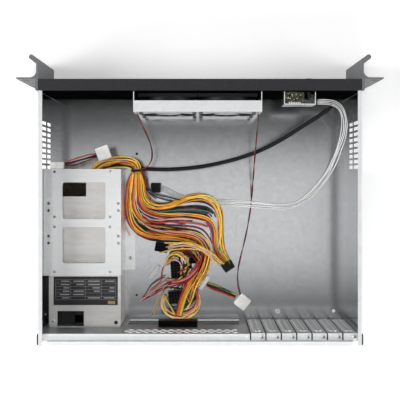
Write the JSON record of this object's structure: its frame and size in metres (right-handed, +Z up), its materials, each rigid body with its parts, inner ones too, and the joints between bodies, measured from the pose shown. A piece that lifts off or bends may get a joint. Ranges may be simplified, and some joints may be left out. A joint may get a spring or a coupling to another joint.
{
  "type": "rackmount server case",
  "caption": "Short-depth 3U rackmount server case with its lid off: folded steel chassis, handled ears, fans, power supply, drive tray, blanked slots and loose internal wiring.",
  "frame": {"origin": "centre of the underside, midway between the handles' front and the rear edge", "axes": "+Z up, front faces -Y, +X is the power supply's side"},
  "size_m": [0.4826, 0.3831, 0.1325],
  "materials": {
    "bezel_paint": "fine-textured dark paint",
    "black_nylon": "moulded black nylon",
    "black_plastic": "moulded, matt",
    "button_plastic": "moulded, half-gloss",
    "ear_paint": "grey textured paint",
    "fan_plastic": "moulded, matt",
    "guard_wire": "plated wire",
    "inner_paint": "thin dark paint on steel",
    "lamp_plastic": "clear moulded lens",
    "port_board": "olive circuit board",
    "psu_board": "circuit board and parts",
    "psu_steel": "zinc-plated sheet, slightly yellowed",
    "rocker_plastic": "moulded, glossy",
    "screw_steel": "plated screws",
    "sleeve_black": "black cable jacket",
    "socket_shell": "plated socket shell",
    "strip_rubber": "matt rubber",
    "white_nylon": "moulded white nylon",
    "wire_grey": "wire insulation, light grey",
    "wire_red": "wire insulation, dark red and black",
    "wire_yellow": "wire insulation, yellow and black",
    "zinc_steel": "zinc-plated sheet, satin"
  },
  "bodies": {
    "case": {"arc_lead": "wire_yellow", "black_plugs": "black_nylon", "board_plug": "black_nylon", "board_standoff": "screw_steel", "button_switches": "black_plastic", "cable_tie": "black_nylon", "chassis_tray": "zinc_steel", "corner_strips": "strip_rubber", "drive_tray": "zinc_steel", "ear_handle_left": "ear_paint", "ear_handle_right": "ear_paint", "fan_bracket": "zinc_steel", "fan_lead_left": "wire_red", "fan_lead_right": "wire_red", "fan_left_frame": "fan_plastic", "fan_right_frame": "fan_plastic", "fan_screws": "screw_steel", "front_bezel": "bezel_paint", "front_grille": "bezel_paint", "front_wall": "inner_paint", "harness_board": "wire_yellow", "harness_cpu": "wire_yellow", "harness_drive": "wire_yellow", "harness_fan": "wire_red", "loop_lead": "wire_red", "mains_inlet": "black_plastic", "panel_leads": "wire_grey", "port_board": "port_board", "port_bracket": "zinc_steel", "psu_base": "psu_steel", "psu_board": "psu_board", "psu_cover": "psu_steel", "psu_fan_frame": "fan_plastic", "psu_fan_guard": "guard_wire", "psu_harness": "wire_yellow", "rear_panel": "zinc_steel", "ribbon_left": "wire_yellow", "ribbon_right": "wire_yellow", "rocker_frame": "black_plastic", "sata_lead": "wire_yellow", "slot_cover_1": "zinc_steel", "slot_cover_2": "zinc_steel", "slot_cover_3": "zinc_steel", "slot_cover_4": "zinc_steel", "slot_cover_5": "zinc_steel", "slot_cover_6": "zinc_steel", "slot_cover_7": "zinc_steel", "slot_screws": "screw_steel", "spare_lead": "wire_red", "status_lamps": "lamp_plastic", "tray_screws": "screw_steel", "usb_cable": "sleeve_black", "usb_sockets": "socket_shell", "white_plugs": "white_nylon"},
    "fan_left_spin_body": {"fan_left_rotor": "fan_plastic"},
    "fan_right_spin_body": {"fan_right_rotor": "fan_plastic"},
    "psu_fan_spin_body": {"psu_fan_rotor": "fan_plastic"},
    "power_button_body": {"power_button": "button_plastic"},
    "reset_button_body": {"reset_button": "button_plastic"},
    "rocker_body": {"rocker_switch": "rocker_plastic"}
  },
  "joints": [
    {"name": "fan_left_spin", "type": "hinge", "parent": "case", "child": "fan_left_spin_body", "pos_m": [0.0435, -0.12115, 0.065], "axis": [0, 1, 0], "continuous": true},
    {"name": "fan_right_spin", "type": "hinge", "parent": "case", "child": "fan_right_spin_body", "pos_m": [-0.037, -0.12115, 0.065], "axis": [0, 1, 0], "continuous": true},
    {"name": "psu_fan_spin", "type": "hinge", "parent": "case", "child": "psu_fan_spin_body", "pos_m": [0.1423, 0.172, 0.0365], "axis": [0, 1, 0], "continuous": true},
    {"name": "power_press", "type": "slide", "parent": "case", "child": "power_button_body", "axis": [0, 1, 0], "range_m": [0, 0.0015], "stiffness_N_per_m": 800, "springref_m": -0.001},
    {"name": "reset_press", "type": "slide", "parent": "case", "child": "reset_button_body", "axis": [0, 1, 0], "range_m": [0, 0.0015], "stiffness_N_per_m": 600, "springref_m": -0.001},
    {"name": "rocker_tilt", "type": "hinge", "parent": "case", "child": "rocker_body", "pos_m": [0.1875, 0.17615, 0.022], "axis": [1, 0, 0], "range_deg": [0, 18]}
  ]
}
